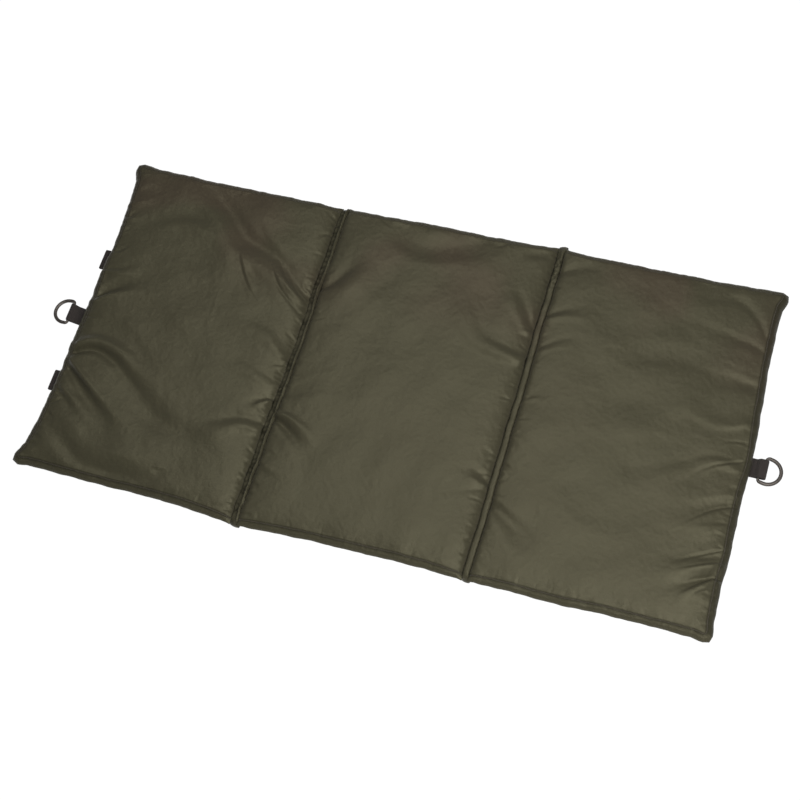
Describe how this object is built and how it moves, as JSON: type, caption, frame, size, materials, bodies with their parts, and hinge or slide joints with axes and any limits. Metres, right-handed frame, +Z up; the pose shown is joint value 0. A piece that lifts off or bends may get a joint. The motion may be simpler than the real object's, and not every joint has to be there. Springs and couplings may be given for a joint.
{
  "type": "fishing unhooking mat",
  "caption": "Padded fishing mat that folds in three, with fabric cover, steel D-rings on webbing tabs at its ends and closure straps folded beneath.",
  "frame": {"origin": "on the ground under the centre of the mat's bounding box", "axes": "+X along the mat from the end with the closure straps to the plain end, +Y across it from the near long edge to the far one, +Z up"},
  "size_m": [1.091, 0.5152, 0.025],
  "materials": {
    "olive_nylon": "coated satin weave",
    "seam_tape": "sewn edge binding",
    "base_fabric": "coated, matte",
    "foam": "closed-cell foam",
    "webbing": "ribbed webbing",
    "gunmetal": "dark plated wire",
    "touch_tape": "hook and loop tape"
  },
  "bodies": {
    "middle_panel": {"middle_top_cover": "olive_nylon", "middle_base_cover": "base_fabric", "middle_foam_pad": "foam", "middle_far_side_wall": "olive_nylon", "middle_near_side_wall": "olive_nylon", "middle_far_welt": "seam_tape", "middle_near_welt": "seam_tape", "left_fold_strip": "olive_nylon", "right_fold_strip": "olive_nylon", "far_loop_tape": "touch_tape", "near_loop_tape": "touch_tape"},
    "left_panel": {"left_top_cover": "olive_nylon", "left_base_cover": "base_fabric", "left_foam_pad": "foam", "left_side_wall": "olive_nylon", "left_welt": "seam_tape", "left_ring_tab": "webbing", "far_strap_root": "webbing", "near_strap_root": "webbing", "far_strap_turn": "webbing", "near_strap_turn": "webbing"},
    "right_panel": {"right_top_cover": "olive_nylon", "right_base_cover": "base_fabric", "right_foam_pad": "foam", "right_side_wall": "olive_nylon", "right_welt": "seam_tape", "right_ring_tab": "webbing"},
    "left_ring": {"left_d_ring": "gunmetal"},
    "right_ring": {"right_d_ring": "gunmetal"},
    "far_strap": {"far_closure_strap": "webbing", "far_hook_tape": "touch_tape"},
    "near_strap": {"near_closure_strap": "webbing", "near_hook_tape": "touch_tape"}
  },
  "joints": [
    {"name": "left_fold", "type": "hinge", "parent": "middle_panel", "child": "left_panel", "pos_m": [-0.16, 0, 0.0385], "axis": [0, 1, 0], "range_deg": [0, 180], "deforming": ["left_fold_strip"]},
    {"name": "right_fold", "type": "hinge", "parent": "middle_panel", "child": "right_panel", "pos_m": [0.1725, 0, 0.0255], "axis": [0, -1, 0], "range_deg": [0, 180], "deforming": ["right_fold_strip"]},
    {"name": "left_ring_swing", "type": "hinge", "parent": "left_panel", "child": "left_ring", "pos_m": [-0.51877, -0.0045, 0.004], "axis": [0, 1, 0], "range_deg": [-135, 135]},
    {"name": "right_ring_swing", "type": "hinge", "parent": "right_panel", "child": "right_ring", "pos_m": [0.51893, -0.0045, 0.004], "axis": [-0.2079, -0.9781, 0], "range_deg": [-135, 135]},
    {"name": "far_strap_swing", "type": "hinge", "parent": "left_panel", "child": "far_strap", "pos_m": [-0.498, 0.0925, 0.0036], "axis": [0, 1, 0], "range_deg": [0, 180], "deforming": ["far_strap_turn"]},
    {"name": "near_strap_swing", "type": "hinge", "parent": "left_panel", "child": "near_strap", "pos_m": [-0.498, -0.1155, 0.0036], "axis": [0, 1, 0], "range_deg": [0, 180], "deforming": ["near_strap_turn"]}
  ]
}
